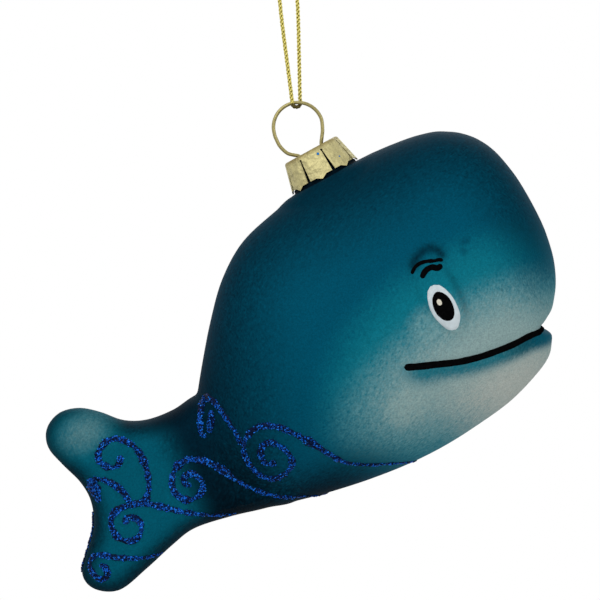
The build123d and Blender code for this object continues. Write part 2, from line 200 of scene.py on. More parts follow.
# Places on the side are read from a view a little above the whale, which hangs nose up.
hang_pitch = math.radians(24.4)
view_rise = math.radians(2.0)
view_roll = math.radians(28.7) - hang_pitch
view_distance = 900.0
view_target = np.array((-2.75, 0.0, -82.95))
lift_way = np.array((math.sin(hang_pitch + view_roll), math.cos(hang_pitch + view_roll)))
ring_centre = np.array((0.0, 0.0, -39.86))
whale_axes = np.array(
    (
        (math.cos(hang_pitch), 0, math.sin(hang_pitch)),
        (0, 1, 0),
        (-math.sin(hang_pitch), 0, math.cos(hang_pitch)),
    )
)


def lifted(points, tree):
    """Places of the side view, moved to where the near side of the glass carries them."""
    read = spot(points)
    middle = (whale_axes @ (view_target - ring_centre))[[0, 2]]
    placed = read.copy()
    for _ in range(4):
        for i, (u, w) in enumerate(placed):
            hit = tree.ray_cast(Vector((u, -80, w)), Vector((0, 1, 0)))[0]
            near = -hit.y if hit is not None and hit.y < 0 else 0
            nearer = middle + (read[i] - middle) * (1 - near / view_distance)
            placed[i] = nearer + near * math.tan(view_rise) * lift_way
    return placed


eye_oval = lifted(((439, 364),), plain_tree)[0]
eye_oval_half = (4.4, 11.4)
eye_oval_rise = 0.9
oval_reach = np.hypot(
    (skin[:, 0] - eye_oval[0]) / eye_oval_half[0], (skin[:, 2] - eye_oval[1]) / eye_oval_half[1]
)
on_side = np.abs(skin[:, 1]) > 8
skin[:, 1] += np.sign(skin[:, 1]) * eye_oval_rise * (1 - ease(oval_reach, 0.7, 1.2)) * on_side

mouth_side = ((373, 412.5), (386, 418.5), (400, 424.2), (425, 434.2), (450, 440.6), (480, 444.6), (498, 445))
mouth_front = ((517, 443.6), (530, 443.4))
mouth_path = smooth_path(np.vstack((lifted(mouth_side, plain_tree), spot(mouth_front))), 130)
mouth_reach = distance_to(mouth_path, skin[:, 0], skin[:, 2])
groove_depth, snout_depth = 0.3, 2.0
lip_rise, lip_offset = 0.45, 2.4
front = ease(skin[:, 0], 26, 31.5)
groove = (groove_depth + snout_depth * front) * np.exp(-((mouth_reach / (0.9 + 0.6 * front)) ** 2))
lip = lip_rise * ease(skin[:, 0], 8, 26) * (1 - 0.6 * front)
lip *= np.exp(-(((mouth_reach - lip_offset) / 1.3) ** 2))
below_mouth = skin[:, 2] < np.interp(skin[:, 0], mouth_path[:, 0], mouth_path[:, 1])
skin += skin_normals * (lip * below_mouth - groove)[:, None]

glass_tree = BVHTree.FromPolygons([Vector(p) for p in skin], quads)

# The lacquer is airbrushed: a mid teal all over, navy on the back, navy and painted shade under the tail,
# and a warm grey cream on the cheek and chin with a teal painted shade under the mouth. Each pass fades at
# its edge.
def paint(code):
    """A colour written as sRGB hex, in the linear values that Blender uses."""
    parts = [int(code[i : i + 2], 16) / 255 for i in (1, 3, 5)]
    return tuple(p / 12.92 if p <= 0.04045 else ((p + 0.055) / 1.055) ** 2.4 for p in parts)


near = np.abs(skin[:, 1])
middle = (whale_axes @ (view_target - ring_centre))[[0, 2]]
drop = near[:, None] * math.tan(view_rise) * lift_way
seen = middle + (skin[:, [0, 2]] - drop - middle) / (1 - near / view_distance)[:, None]
px = seen[:, 0] / side_scale + side_origin[0]
py = side_origin[1] - seen[:, 1] / side_scale
coat = np.tile(paint("#014c63"), (len(skin), 1))
spatter = np.random.default_rng(7).normal(size=len(skin))


def spray(code, amount):
    """Lays one pass of colour over the coat, with a fine spatter where the pass is thin."""
    share = np.clip(amount, 0, 1)
    share = np.clip(share + 0.42 * spatter * share * (1 - share), 0, 1)[:, None]
    coat[:] = coat * (1 - share) + np.array(paint(code)) * share


outside = np.full(len(skin), 9.0)
outside[tail_part] = depth
spray("#012433", 0.95 * (1 - ease(py + 0.1 * np.clip(395 - px, 0, 400), 200, 318)))
spray("#011a28", 0.95 * (1 - ease(px + 0.4 * (py - 340), 165, 312)))
# The snout's front is darker, partly navy paint and partly painted shade where it turns from the light; the
# teal and cream also thin out there and at the chin's front.
spray("#01202d", 0.62 * ease(px, 488, 556) * (1 - ease(py, 340, 440)))
cheek = np.hypot((px - 450) / 190, (py - 430) / 118)
front_shade_share = ease(px, 484, 550)
spray("#0b6c7d", 0.95 * (1 - ease(cheek, 0.62, 1.02)) * (1 - 0.85 * front_shade_share * (1 - ease(py, 395, 440))))
jowl = np.hypot((px - 450) / 176, (py - 445) / 76)
cream = 0.97 * (1 - ease(jowl, 0.2, 1.05))
spray("#2f8591", 0.6 * (1 - ease(jowl, 0.5, 1.2)) * (1 - 0.9 * front_shade_share * (1 - ease(py, 380, 440))))
spray("#8aa3a2", cream * (1 - 0.8 * front_shade_share * (1 - ease(py, 402, 448))))
spray("#b3b9b2", 0.85 * ease(py, 440, 478) * ease(px, 366, 456) * (1 - 0.4 * ease(px, 478, 512)))
for (at_x, at_y), (wide, high), code, amount in (
    ((356, 449), (34, 26), "#93aaa7", 0.5),
    ((414, 384), (24, 20), "#7ba3a5", 0.34),
    ((487, 331), (8, 5), "#013247", 0.5),
    ((481, 339), (5, 6), "#013247", 0.4),
    ((496, 391), (2.2, 1.6), "#0a4552", 0.6),
):
    spray(code, amount * (1 - ease(np.hypot((px - at_x) / wide, (py - at_y) / high), 0.2, 1.1)))
# Painted shade: these teal passes stand for the shade under the upper lip, darkest at the front.
shade_reach = 5.5 + 1.2 * (1 - ease(px, 384, 414))
under_lip_painted_shade = (1 - ease((mouth_reach - 1.8) / (shade_reach - 1.8), 0, 1)) * below_mouth
spray("#0a6878", 0.93 * under_lip_painted_shade * ease(px, 360, 386))
spray("#063a47", 0.85 * (1 - ease(mouth_reach, 1.4, 4.4)) * below_mouth * ease(px, 450, 504))
spray("#03556a", 0.8 * (1 - ease(mouth_reach, 2.4, 5.8)) * below_mouth * ease(px, 482, 512))
# Painted shade: a dark arc over the brow where the raised oval rises from the glass, and a fainter one on the
# nose side of the eye.
brow_drawn = ((430, 327), (438, 321.5), (449, 319.5), (457, 324), (460, 331))
brow_arc = smooth_path(lifted(brow_drawn, plain_tree), 40)
brow_painted_shade = np.exp(-((distance_to(brow_arc, skin[:, 0], skin[:, 2]) / 1.25) ** 2)) * on_side
beside_eye_painted_shade = np.exp(-(((oval_reach - 1.05) / 0.2) ** 2)) * ease(px, 440, 452)
beside_eye_painted_shade *= ease(py, 336, 354) * (1 - ease(py, 385, 410))
spray("#012230", 0.85 * brow_painted_shade + 0.3 * beside_eye_painted_shade)
# The belly's rear toward the tail is darkened, partly navy paint and partly painted shade.
spray("#010f1b", 0.95 * ease(py, 438, 486) * (1 - ease(px - 0.6 * (py - 468), 225, 335)))
spray("#03566a", 0.9 * (1 - ease(px, 108, 150)))
# Painted shade: the fluke's rim is darkened where its puffed edge turns from the light.
spray("#01131f", 0.85 * (1 - ease(outside, 0.4, 5.5)) * (1 - ease(px, 150, 190)))
# Painted shade: a dark band across the tail's stem, next to the body.
spray("#010c15", 0.75 * ease(px, 112, 152) * (1 - ease(px, 178, 236)) * ease(py, 360, 452))
# Painted highlight: a paler teal patch on the upper lobe of the fluke.
spray("#0f6474", 0.85 * (1 - ease(np.hypot((px - 62) / 44, (py - 316) / 34), 0.3, 1.1)))
spray("#5c8286", 0.6 * (1 - ease(np.hypot((px - 61) / 31, (py - 316) / 22), 0.1, 1.15)))


def to_row(points):
    """From the whale's axes in mm to the row frame in metres."""
    return (ring_centre + np.asarray(points, float) @ whale_axes) * 0.001


def add_node(tree, kind, **inputs):
    """A shader node with its plain values set; a socket given as a value is linked."""
    node = tree.nodes.new(kind)
    for name, value in inputs.items():
        if name in ("operation", "blend_type", "data_type"):
            setattr(node, name, value)
            continue
        key = int(name[1:]) if name[0] == "i" and name[1:].isdigit() else name.replace("_", " ")
        socket = node.inputs[key]
        if isinstance(value, bpy.types.NodeSocket):
            tree.links.new(value, socket)
        else:
            socket.default_value = value
    return node


def surface(name, color, roughness, metallic=0.0, specular=0.5, grain=0.0, spread=0.0, dent=0.0):
    """A finish with its node tree and shader; grain and dent are sizes in mm."""
    material = bpy.data.materials.new(name)
    material.use_nodes = True
    shader = material.node_tree.nodes["Principled BSDF"]
    shader.inputs["Base Color"].default_value = (*paint(color), 1)
    shader.inputs["Roughness"].default_value = roughness
    shader.inputs["Metallic"].default_value = metallic
    shader.inputs["Specular IOR Level"].default_value = specular
    if grain:
        tree = material.node_tree
        where = add_node(tree, "ShaderNodeTexCoord")
        noise = add_node(
            tree, "ShaderNodeTexNoise", Vector=where.outputs["Object"], Scale=1000 / grain, Detail=2.0
        )
        level = add_node(
            tree, "ShaderNodeMapRange", Value=noise.outputs["Fac"], From_Min=0.3, From_Max=0.7,
            To_Min=1 - spread, To_Max=1 + spread,
        )
        tint = add_node(
            tree, "ShaderNodeMix", data_type="RGBA", blend_type="MULTIPLY", i0=1.0, i6=(*paint(color), 1)
        )
        tree.links.new(level.outputs["Result"], tint.inputs[7])
        tree.links.new(tint.outputs[2], shader.inputs["Base Color"])
        bump = add_node(
            tree, "ShaderNodeBump", Height=noise.outputs["Fac"], Strength=1.0, Distance=dent * 0.001
        )
        tree.links.new(bump.outputs["Normal"], shader.inputs["Normal"])
    return material, material.node_tree, shader


skin_row = to_row(skin)
shell_mesh.vertices.foreach_set("co", skin_row.ravel())
shell_mesh.update()
shell_mesh.shade_smooth()
airbrush = shell_mesh.color_attributes.new("airbrush", "FLOAT_COLOR", "POINT")
airbrush.data.foreach_set("color", np.column_stack((coat, np.ones(len(coat)))).ravel())
# The lacquer is matte, so the colours stay even in the light. Its dust is finer than a pixel of the
# render, so it is drawn as coarse as it needs to be to show.
dust_size = 0.37
lacquer, tree, shader = surface("matte_lacquer_on_glass", "#014c63", 0.6, specular=0.01)
coat_color = add_node(tree, "ShaderNodeVertexColor")
coat_color.layer_name = "airbrush"
where = add_node(tree, "ShaderNodeTexCoord")
dust = add_node(
    tree, "ShaderNodeTexNoise", Vector=where.outputs["Object"], Scale=1000 / dust_size, Detail=3.0
)
speck = add_node(
    tree, "ShaderNodeMapRange", Value=dust.outputs["Fac"], From_Min=0.3, From_Max=0.7,
    To_Min=0.82, To_Max=1.18,
)
dusted = add_node(
    tree, "ShaderNodeMix", data_type="RGBA", blend_type="MULTIPLY", i0=1.0, i6=coat_color.outputs["Color"]
)
tree.links.new(speck.outputs["Result"], dusted.inputs[7])
tree.links.new(dusted.outputs[2], shader.inputs["Base Color"])
glass_body = bpy.data.objects.new("glass_body", shell_mesh)
scene.collection.objects.link(glass_body)
glass_body.data.materials.append(lacquer)
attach(glass_body, "shell")
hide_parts("glass_shell")

# The neck of the glass is left bare. It is one with the body, stands in the cap on a flared foot,
# and shows only between the fingers.
neck_rings = (
    (10.0, -18.0), (10.0, -14.55), (9.5, -14.4), (8.65, -14.3), (8.6, -13.7), (7.6, -13.0), (6.8, -12.2),
    (6.8, -7.3), (6.6, -7.1), (5.95, -7.1), (5.75, -7.3), (5.75, -18.0),
)
neck_points = []
neck_faces = []
for radius, w in neck_rings:
    neck_points.extend(zip(radius * np.cos(turns), radius * np.sin(turns), np.full(ring_count, w)))
for i in range(len(neck_rings) - 1):
    for j in range(ring_count):
        k = (j + 1) % ring_count
        a, b = i * ring_count, (i + 1) * ring_count
        neck_faces.append((a + j, a + k, b + k, b + j))


def place(name, points, faces, body, material, smooth=True):
    """A mesh in the row frame that rides on a body."""
    mesh = bpy.data.meshes.new(name)
    mesh.from_pydata([tuple(p) for p in points], [], faces)
    mesh.update()
    if smooth:
        mesh.shade_smooth()
    obj = bpy.data.objects.new(name, mesh)
    scene.collection.objects.link(obj)
    obj.data.materials.append(material)
    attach(obj, body)
    return obj


# Bare glass in the shade under the cap looks nearly black, with a faint unevenness.
neck_glaze, _, _ = surface(
    "bare_glass_neck", "#03101a", 0.5, specular=0.02, grain=1.11, spread=0.3, dent=0.05
)
neck = place("glass_neck", to_row(neck_points), neck_faces, "shell", neck_glaze)

# The mouth is one line of black enamel with a rounded top. It is drawn by brush in its groove, round the
# front from cheek to cheek, and narrows at the snout.
sides = (("right", -1), ("left", 1))
paint_sink = 0.06


def on_glass(u, w, side):
    """The point of the glass on that side, and the way its surface faces."""
    hit, normal, _, _ = glass_tree.ray_cast(Vector((u, side * 80, w)), Vector((0, -side, 0)))
    if hit is None or hit.y * side < 0:
        hit, normal, _, _ = glass_tree.find_nearest(Vector((u, side * 1.5, w)))
    return np.array(hit), np.array(normal)


def settle(point):
    """The nearest point of the glass and the way it faces."""
    hit, normal, _, _ = glass_tree.find_nearest(Vector(point))
    return np.array(hit), np.array(normal)


def raised_line(centres, width, relief, rng, wander=0.12, swell=None, across=9):
    """Points and faces of a drawn line with a rounded top and round ends, along places on the glass."""
    middle = np.array([place for place, _ in centres])
    along = np.gradient(middle, axis=0)
    run = np.concatenate(([0], np.cumsum(np.linalg.norm(np.diff(middle, axis=0), axis=1))))
    end_gap = np.minimum(run, run[-1] - run)
    taper = np.sqrt(np.clip(1 - (1 - np.clip(end_gap / (width / 2), 0.02, 1)) ** 2, 0, 1))
    shake = np.convolve(rng.normal(size=len(middle)), np.ones(5) / 2.2, "same")
    wide = width / 2 * taper * (1 + wander * shake)
    if swell is not None:
        wide = wide * swell
    points = []
    for (centre, normal), way, half in zip(centres, along, wide):
        sideways = np.cross(way, normal)
        sideways /= max(np.linalg.norm(sideways), 1e-9)
        for s in np.linspace(-1, 1, across):
            foot, up = settle(centre + sideways * s * half)
            points.append(foot + up * (relief * math.sqrt(1 - s * s) * min(1, 2 * half / width) - paint_sink))
    faces = []
    for i in range(len(middle) - 1):
        for j in range(across - 1):
            a, b = i * across + j, (i + 1) * across + j
            faces.append((a, a + 1, b + 1, b))
    return np.array(points), faces


# Enamel this thick dries dull and a little uneven, so it stays black and gives no glint.
enamel, _, _ = surface("black_enamel", "#070708", 0.6, specular=0.0, grain=0.667, spread=0.35, dent=0.06)
mouth_width = 2.0
mouth_relief = 0.42
mouth_end = 29.8
snout_narrowing = 0.4
mouth_rows = []
for name, side in sides:
    shown = mouth_path[mouth_path[:, 0] < mouth_end]
    feet = [on_glass(u, w, side)[0] for u, w in shown]
    mouth_rows.append(feet)
right_feet, left_feet = mouth_rows
gap = smooth_path((right_feet[-6], right_feet[-1], left_feet[-1], left_feet[-6]), 60)
mouth_line = np.vstack((right_feet[:-1], [settle(p)[0] for p in gap[10:-10]], left_feet[::-1][1:]))
mouth_line = smooth_path(mouth_line[::3], 260)
rng = np.random.default_rng(4)
mouth_taper = 1 - snout_narrowing * ease(mouth_line[:, 0], 25, 31)
mouth_points, mouth_faces = raised_line(
    [settle(p) for p in mouth_line], mouth_width, mouth_relief, rng, wander=0.03, swell=mouth_taper
)
mouth = place("mouth_enamel", to_row(mouth_points), mouth_faces, "shell", enamel)
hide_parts("mouth_line")

# The eyes and brows are painted on the glass in layers: a white oval, a black pupil and a pale catch
# light, and over each eye two strokes of the mouth's enamel.
brow_relief = 0.34
oval_steps = 48


def raised_oval(centre, width, height, low, relief, side, rng):
    """Points and faces of a flat oval of paint with a soft edge, standing from low to low plus relief."""
    (cu, cw), = lifted((centre,), plain_tree)
    shares = (0, 0.3, 0.6, 0.85, 0.95, 1.0)
    stands = (1, 1, 1, 0.95, 0.7, -0.2)
    wobble = np.convolve(np.tile(rng.normal(size=oval_steps), 3), np.ones(4) / 2, "same")
    uneven = 1 + 0.012 * wobble[oval_steps : 2 * oval_steps]
    points = []
    for share, stand in zip(shares, stands):
        for angle, reach in zip(np.linspace(0, 2 * math.pi, oval_steps, endpoint=False), share * uneven / 2):
            u = cu + width * reach * math.cos(angle)
            w = cw + height * reach * math.sin(angle)
            foot, up = on_glass(u, w, side)
            points.append(foot + up * (low + relief * stand))
    faces = []
    for i in range(len(shares) - 1):
        for j in range(oval_steps):
            a, b, k = i * oval_steps, (i + 1) * oval_steps, (j + 1) % oval_steps
            face = (a + j, b + j, b + k, a + k)
            faces.append(face if side < 0 else face[::-1])
    return np.array(points), faces


# Eye paint has a soft sheen and a faint brush grain. The catch light is a warmer white.
eye_paint, _, _ = surface(
    "white_eye_paint", "#c6d2d7", 0.5, specular=0.08, grain=1.25, spread=0.07, dent=0.08
)
glint_paint, _, _ = surface(
    "pale_catch_light_paint", "#d8d3c2", 0.5, specular=0.1, grain=0.667, spread=0.1, dent=0.08
)
brow_strokes = (
    ("upper_brow", (
        (424.3, 334), (430, 330), (436, 328.6), (443, 329.8), (451, 333.4), (455, 334.6), (458.6, 337.2),
    ), 1.0),
    ("lower_brow", ((431, 342.5), (436, 338.8), (441, 337.2), (446, 338), (450, 341), (455.5, 340.6)), 1.55),
)
eye_layers = (
    ("eye_white", (436.4, 378.8), 6.4, 12.3, 0.02, 0.2, eye_paint, "white_paint"),
    ("pupil", (436.6, 377.6), 4.6, 7.8, 0.22, 0.18, enamel, "black_enamel"),
    ("catch_light", (434.9, 372), 1.2, 1.6, 0.4, 0.14, glint_paint, "white_paint"),
)
for name, side in sides:
    for stroke, points, width in brow_strokes:
        stroke_path = smooth_path(lifted(points, plain_tree), 50)
        centres = [on_glass(u, w, side) for u, w in stroke_path]
        verts, faces = raised_line(centres, width, brow_relief, rng, wander=0.06)
        brow = place(f"{stroke}_stroke_{name}", to_row(verts), faces, "shell", enamel)
        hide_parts(f"{stroke}_{name}")
    for layer, centre, width, height, low, relief, finish, slot in eye_layers:
        verts, faces = raised_oval(centre, width, height, low, relief, side, rng)
        oval = place(f"{layer}_paint_{name}", to_row(verts), faces, "shell", finish)
        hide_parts(f"{layer}_{name}")

# The scrolls are lines of clear glue strewn with coarse blue glitter: a dark rounded bed, and on
# it small flat flakes that lie at every angle, so that some flash and others stay dark.
scrolls = (
    ("tail_line", 1.6, (1.0, 0.6), (
        (52.3, 416), (58, 412), (64.9, 416.5), (66.6, 425), (60.3, 433), (50, 434.5), (41, 427), (39, 414.5),
        (43.5, 404.5), (52.5, 400), (64.7, 401.7), (78.1, 406.2), (91.5, 417.3), (104.9, 429.6),
        (120.5, 441.9), (135, 450.5), (146, 456.5), (155, 460),
    )),
    ("fluke_curl", 1.6, (0.95, 0.95), (
        (79, 408), (85.5, 402.5), (91.5, 395), (98, 378), (99, 356), (89.3, 339.2), (77, 334.7), (64, 340.5),
        (60.7, 350.5), (67, 359.5), (76, 360.5), (82, 354),
    )),
    ("notch_curl", 1.6, (0.85, 0.85), ((67, 400), (66.5, 388), (61, 374.5), (52, 364.5), (45, 362))),
    ("notch_fill", 4.3, (1.0, 1.0), ((44, 359), (42, 372), (41, 384))),
    ("lobe_curl", 1.6, (1.0, 0.6), (
        (10.5, 440), (14.2, 445), (12.5, 452.5), (6, 454), (1.1, 447.5), (1, 437), (7, 430.2), (16, 431.5),
        (29, 441.9), (40.2, 448.6), (53.6, 455.3), (71.4, 459.3),
    )),
    ("stem_curl", 1.6, (0.5, 1.0), (
        (246, 489), (228, 480), (207.6, 470.5), (189.7, 455.3), (174.1, 435.2), (163, 412.9), (151.8, 398.3),
        (138, 389.4), (124, 391.7), (114.5, 401), (111.6, 412.9), (117, 423.5), (127, 427), (137.3, 423.5),
        (140.6, 414), (136.5, 404.5), (129, 402.5), (125, 408.5), (129, 414.5),
    )),
    ("body_curl", 1.6, (0.5, 1.0), (
        (339.3, 500), (317, 491.5), (292.4, 479.5), (274.6, 466.4), (263.4, 448.6), (254.5, 433),
        (243.3, 416.2), (232.1, 402.8), (216.5, 395), (200.9, 398.3), (192, 409.5), (190.8, 424),
        (195.3, 438.5), (204.2, 447.5), (216.5, 449), (227.7, 444.5), (230.5, 434), (226, 421.8),
        (218, 413.5), (209, 415), (204, 424), (208, 433), (215, 434),
    )),
    ("leaf_drop", 1.6, (0.8, 0.9), (
        (193, 402), (193.8, 390.5), (192.4, 370.4), (190.2, 352.6), (184.5, 343.5), (178, 347.5),
        (169.6, 359.3), (163.5, 372), (166, 378),
    )),
    ("leaf_fill", 2.1, (1.0, 1.0), ((171, 376), (178, 367.5), (183, 358))),
)
glue_clumps = {"body_curl": (0.335, 1.1)}
edge_drawn = ((32, 390), (24, 403.5), (14, 414.5), (3.5, 425), (-4, 432.5), (-8, 438))
glue_relief = 0.42
flake_tilt = 0.42
flake_radius = (0.14, 0.27)
flake_corners = 6
flake_lift = 0.05
flakes_per_mm2 = 11
line_step = 0.3
clump_reach = 0.016
edge_width = 1.3
# The glue is dark and dull between the flakes, with a grain drawn coarser than the real one so that it
# shows. The foil flakes get lighter and darker tints, painted glints and painted shade, so that the line
# sparkles.
glue, _, _ = surface(
    "dark_blue_glitter_glue", "#010f30", 0.45, specular=0.05, grain=0.4, spread=0.5, dent=0.1
)
flake_foil, tree, shader = surface("blue_glitter_foil", "#0448a0", 0.35, metallic=0.12, specular=0.08)
flake_color = add_node(tree, "ShaderNodeVertexColor")
flake_color.layer_name = "foil"
tree.links.new(flake_color.outputs["Color"], shader.inputs["Base Color"])
# Lighter tints are painted glints and darker ones painted shade.
glint_and_shade_tints = [paint(code) for code in ("#0248a6", "#013474", "#0058c4", "#012048", "#000f26", "#1a78e0")]
rng = np.random.default_rng(11)


def strew(name, node, centres, width, swell=None):
    """One glitter line: its glue bed, which stands for the node, and the flakes on it."""
    bed_points, bed_faces = raised_line(centres, width, glue_relief, rng, wander=0.2, swell=swell)
    bed = place(f"{name}_glue", to_row(bed_points), bed_faces, "shell", glue)
    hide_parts(node)
    flake_points, flake_faces, tints = [], [], []
    for _ in range(int(len(centres) * line_step * width * flakes_per_mm2)):
        face = bed_faces[rng.integers(len(bed_faces))]
        a, b, c, d = bed_points[list(face)]
        s, t = rng.random(2)
        middle = a * (1 - s) * (1 - t) + b * s * (1 - t) + c * s * t + d * (1 - s) * t
        _, up = settle(middle)
        up = up + rng.normal(scale=flake_tilt, size=3)
        up /= np.linalg.norm(up)
        first = np.cross(up, rng.normal(size=3))
        first /= np.linalg.norm(first)
        second = np.cross(up, first)
        size = rng.uniform(*flake_radius)
        start = len(flake_points)
        for angle in np.linspace(0, 2 * math.pi, flake_corners, endpoint=False):
            ray = first * math.cos(angle) + second * math.sin(angle)
            flake_points.append(middle + up * flake_lift + size * ray)
        flake_faces.append(tuple(range(start, start + flake_corners)))
        tints.extend([(*glint_and_shade_tints[rng.integers(len(glint_and_shade_tints))], 1)] * flake_corners)
    flakes = place(f"{name}_glitter", to_row(flake_points), flake_faces, "shell", flake_foil, smooth=False)
    foil = flakes.data.color_attributes.new("foil", "FLOAT_COLOR", "POINT")
    foil.data.foreach_set("color", np.array(tints).ravel())


for scroll, width, (first, last), drawn in scrolls:
    steps = int(np.sum(np.hypot(*np.diff(np.array(drawn), axis=0).T)) * side_scale / line_step)
    path = smooth_path(lifted(drawn, plain_tree), max(steps, 24))
    swell = np.interp(np.linspace(0, 1, len(path)), (0, 0.4, 0.6, 1), (first, 1, 1, last))
    if scroll in glue_clumps:
        at, more = glue_clumps[scroll]
        swell += more * np.exp(-(((np.linspace(0, 1, len(path)) - at) / clump_reach) ** 2))
    for name, side in sides:
        strew(f"{scroll}_{name}", f"{scroll}_{name}", [on_glass(u, w, side) for u, w in path], width, swell)
edge_path = smooth_path(spot(edge_drawn), 64)
strew("edge_line", "edge_line", [settle((u, 0, w)) for u, w in edge_path], edge_width)

# The crown cap is stamped from thin gilt sheet and hammered all over, and round its top edge its colour is
# darker, a painted dark reflection. Two stray flakes of the glitter have stuck to its front.
cap_drop, cap_height = 6.45, 7.8
cap_top_radius, cap_flare = 7.4, 1.9
# Hammered gilt breaks the light into soft facets. Its colour is lighter and darker with the dents, painted
# light and shade.
hammered, tree, shader = surface(
    "hammered_gilt_sheet", "#bbb27f", 0.56, metallic=0.5, grain=2.33, spread=0.1, dent=1.1
)
where = add_node(tree, "ShaderNodeTexCoord")
up_neck = add_node(
    tree, "ShaderNodeVectorMath", operation="DOT_PRODUCT", i0=where.outputs["Object"], i1=whale_axes[2]
)
rim_height = float(ring_centre @ whale_axes[2]) * 0.001 - cap_drop * 0.001
rim = add_node(
    tree, "ShaderNodeMapRange", Value=up_neck.outputs["Value"], From_Min=rim_height - 0.0012,
    From_Max=rim_height - 0.0003,
)
# Painted dark reflection: the band round the top edge is multiplied darker.
rim_dark_reflection = add_node(
    tree, "ShaderNodeMix", data_type="RGBA", blend_type="MULTIPLY", i0=rim.outputs["Result"],
    i6=shader.inputs["Base Color"].links[0].from_socket, i7=(*paint("#c2b9a4"), 1),
)
tree.links.new(rim_dark_reflection.outputs[2], shader.inputs["Base Color"])
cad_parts["cap"].data.materials.clear()
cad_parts["cap"].data.materials.append(hammered)
flake_points, flake_faces = [], []
for u, w, size in ((1.1, -8.2, 0.34), (5.5, -11.3, 0.22)):
    reach = cap_top_radius + cap_flare * (-cap_drop - w) / cap_height + flake_lift
    out = np.array((u, -math.sqrt(reach * reach - u * u), 0)) / reach
    aside = np.array((-out[1], out[0], 0))
    flake_faces.append(tuple(range(len(flake_points), len(flake_points) + flake_corners)))
    for angle in np.linspace(0, 2 * math.pi, flake_corners, endpoint=False):
        slope = np.array((0, 0, 1)) - 0.24 * out
        ray = aside * math.cos(angle) + slope * math.sin(angle)
        flake_points.append(out * reach + (0, 0, w) + size * ray)
stray = place("stray_glitter_flakes", to_row(flake_points), flake_faces, "cap", flake_foil, smooth=False)
foil = stray.data.color_attributes.new("foil", "FLOAT_COLOR", "POINT")
foil.data.foreach_set("color", np.tile((*paint("#0a70b8"), 1), len(flake_points)))

# The bail is bent from gilt wire: legs that spring in the neck, a straight run up on the nose side,
# the round loop, and a fuller shoulder on the tail side where the wire was bent by hand.
wire_diameter = 0.92
loop_radius = 6.14
nose_run = ((4.99, -16), (4.0, -12.1), (3.1, -8.7), (2.85, -7.45), (3.15, -6.3), (4.0, -5.05), (5.0, -3.6))
loop_angles = np.radians(np.arange(-12, 169, 15))
loop_turn = [(loop_radius * math.cos(t), loop_radius * math.sin(t)) for t in loop_angles]
tail_run = (
    (-6.2, 0.2), (-6.25, -2.0), (-5.5, -4.35), (-4.2, -5.65), (-3.3, -6.4), (-2.85, -7.45), (-3.1, -8.7),
    (-4.0, -12.1), (-4.99, -16),
)
wire_path = smooth_path([(u, 0, w) for u, w in (*nose_run, *loop_turn, *tail_run)], 240)


def frames_along(path):
    """For each point of a path, two directions square to it that don't twist."""
    tangents = np.gradient(path, axis=0)
    tangents /= np.linalg.norm(tangents, axis=1)[:, None]
    first = np.cross(tangents[0], (0, 1, 0.1))
    frames = []
    for tangent in tangents:
        first = first - tangent * (first @ tangent)
        first /= np.linalg.norm(first)
        frames.append((first.copy(), np.cross(tangent, first)))
    return frames


def tube(path, radius, around=8):
    """Points and faces of a round tube along a path, closed at its ends."""
    points, faces = [], []
    for centre, (first, second) in zip(path, frames_along(path)):
        for angle in np.linspace(0, 2 * math.pi, around, endpoint=False):
            points.append(centre + radius * (first * math.cos(angle) + second * math.sin(angle)))
    for i in range(len(path) - 1):
        for j in range(around):
            k = (j + 1) % around
            faces.append((i * around + j, i * around + k, (i + 1) * around + k, (i + 1) * around + j))
    faces.append(tuple(range(around - 1, -1, -1)))
    faces.append(tuple(range((len(path) - 1) * around, len(path) * around)))
    return points, faces


wire_points, wire_faces = tube(wire_path, wire_diameter / 2, around=16)
# Drawn wire is smoother than the cap, with a darker gilt that has a dull shine.
gilt_wire, _, _ = surface("gilt_wire", "#958b59", 0.34, metallic=0.6, grain=0.625, spread=0.14, dent=0.04)
bail = place("gilt_wire_bail", to_row(wire_points), wire_faces, "bail", gilt_wire)
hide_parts("bail")

# The cord is a fine gold braid: up from the knot's pair, down one taut run, under the ring's wire
# and back up the other. Its six strands weave over and under a thin core, and the turn under the
# wire is given a darker thread, painted shade.
cord_diameter = 1.0
turn_half = (1.0, 1.1)
cord_top = 4.6
turn_top = ring_centre[2] + loop_radius
right_run = (
    (0.55, 0, cord_top), (0.55, 0, 3.0), (2.65, 0.45, -3.0),
    (*turn_half, turn_top + 1.1), (*turn_half, turn_top - 1.1),
)
route = list(right_run) + [(-x, -y, z) for x, y, z in reversed(right_run)]
line_data = bpy.data.curves.new("cord_line", "CURVE")
line_data.dimensions = "3D"
line_data.resolution_u = 40
line = line_data.splines.new("NURBS")
line.points.add(len(route) - 1)
for point, (x, y, z) in zip(line.points, route):
    point.co = (x * 0.001, y * 0.001, z * 0.001, 1)
line.order_u = 3
line.use_endpoint_u = True
line_obj = bpy.data.objects.new("cord_line", line_data)
scene.collection.objects.link(line_obj)
line_mesh = bpy.data.meshes.new_from_object(line_obj.evaluated_get(bpy.context.evaluated_depsgraph_get()))
cord_path = np.array([v.co for v in line_mesh.vertices]) * 1000
bpy.data.objects.remove(line_obj)
bpy.data.meshes.remove(line_mesh)


def braid(path, radius, pitch, ways=(-1, 1), strands=6):
    """Points and faces of a braid along a path: half its strands wind each of the two ways."""
    run = np.concatenate(([0], np.cumsum(np.linalg.norm(np.diff(path, axis=0), axis=1))))
    frames = frames_along(path)
    all_points, all_faces = [], []
    for strand in range(strands):
        way = 1 if strand % 2 else -1
        if way not in ways:
            continue
        start = 2 * math.pi * (strand // 2) / (strands / 2)
        line = []
        for s, centre, (first, second) in zip(run, path, frames):
            angle = start + way * 2 * math.pi * s / pitch
            reach = radius * (0.74 + 0.1 * way * math.cos(2 * (angle - start) + 4 * math.pi * s / pitch))
            line.append(centre + reach * (first * math.cos(angle) + second * math.sin(angle)))
        points, faces = tube(np.array(line), radius * 0.3, around=6)
        offset = len(all_points)
        all_points.extend(points)
        all_faces.extend(tuple(i + offset for i in face) for face in faces)
    return all_points, all_faces
